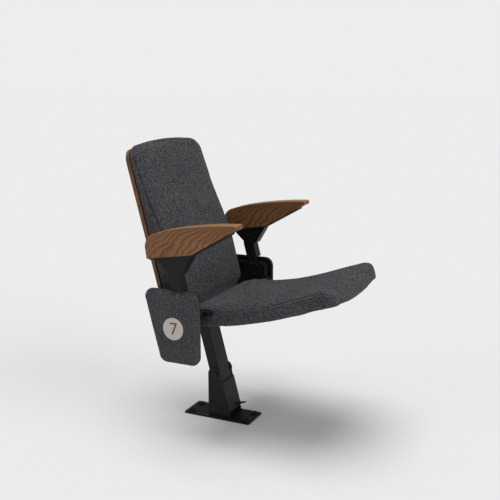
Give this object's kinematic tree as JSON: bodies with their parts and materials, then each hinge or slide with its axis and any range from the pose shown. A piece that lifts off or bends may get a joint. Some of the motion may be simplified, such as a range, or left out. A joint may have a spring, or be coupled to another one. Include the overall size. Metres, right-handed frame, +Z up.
{
  "type": "lecture hall seat",
  "caption": "Tip-up lecture-hall seat: high padded back on a curved ply shell, wooden armrests, padded side panels, one raked leg clamped in a small bolted floor foot.",
  "frame": {"origin": "centre of the base plate's underside, on the floor", "axes": "+Z up, the chair faces -Y, X runs across it with the sitter's right on -X"},
  "size_m": [0.61, 0.759, 0.9903],
  "materials": {
    "black_steel": "fine-textured satin black powder coat",
    "black_screws": "black oxide",
    "bright_steel": "turned",
    "fabric": "dark grey melange wool weave",
    "walnut": "oiled walnut",
    "badge_metal": "brushed, warm grey",
    "rubber": "moulded",
    "nylon": "moulded",
    "black_pan": "grained moulded shell"
  },
  "bodies": {
    "foot": {"base_plate": "black_steel", "anchor_washers": "black_steel", "foot_cheek_right": "black_steel", "foot_cheek_left": "black_steel", "foot_front_cover": "black_steel", "cover_screw": "black_screws", "pivot_bolt": "black_screws", "pivot_nut": "black_screws"},
    "frame": {"arm_bolts": "black_screws", "arm_carrier_left": "black_steel", "arm_carrier_right": "black_steel", "arm_column_left": "black_steel", "arm_column_right": "black_steel", "arm_strap_left": "black_steel", "arm_strap_right": "black_steel", "armrest_left": "walnut", "armrest_right": "walnut", "back_bracket_left": "black_steel", "back_bracket_right": "black_steel", "back_cushion": "fabric", "back_screws": "black_screws", "back_shell": "walnut", "beam_end_plates": "black_steel", "cross_beam": "black_steel", "head_bolts": "black_screws", "hinge_bush_left": "nylon", "hinge_bush_right": "nylon", "leg_head_plate": "black_steel", "leg_pivot_bush": "nylon", "leg_tube": "black_steel", "return_spring_left": "bright_steel", "return_spring_right": "bright_steel", "row_badge": "badge_metal", "seat_stop_left": "rubber", "seat_stop_right": "rubber", "side_liner_left": "black_steel", "side_liner_right": "black_steel", "side_panel_left": "fabric", "side_panel_right": "fabric", "side_standard_left": "black_steel", "side_standard_right": "black_steel", "standard_screws": "black_screws"},
    "seat": {"seat_pan": "black_pan", "seat_cushion": "fabric", "seat_hinge_arm_right": "black_steel", "seat_hinge_arm_left": "black_steel", "pivot_pin_right": "bright_steel", "pivot_pin_left": "bright_steel"}
  },
  "joints": [
    {"name": "leg_rake", "type": "hinge", "parent": "foot", "child": "frame", "pos_m": [0, 0.01, 0.163], "axis": [1, 0, 0], "range_deg": [0, 12]},
    {"name": "seat_tip", "type": "hinge", "parent": "frame", "child": "seat", "pos_m": [0, -0.04, 0.44], "axis": [-1, 0, 0], "range_deg": [0, 65]}
  ]
}
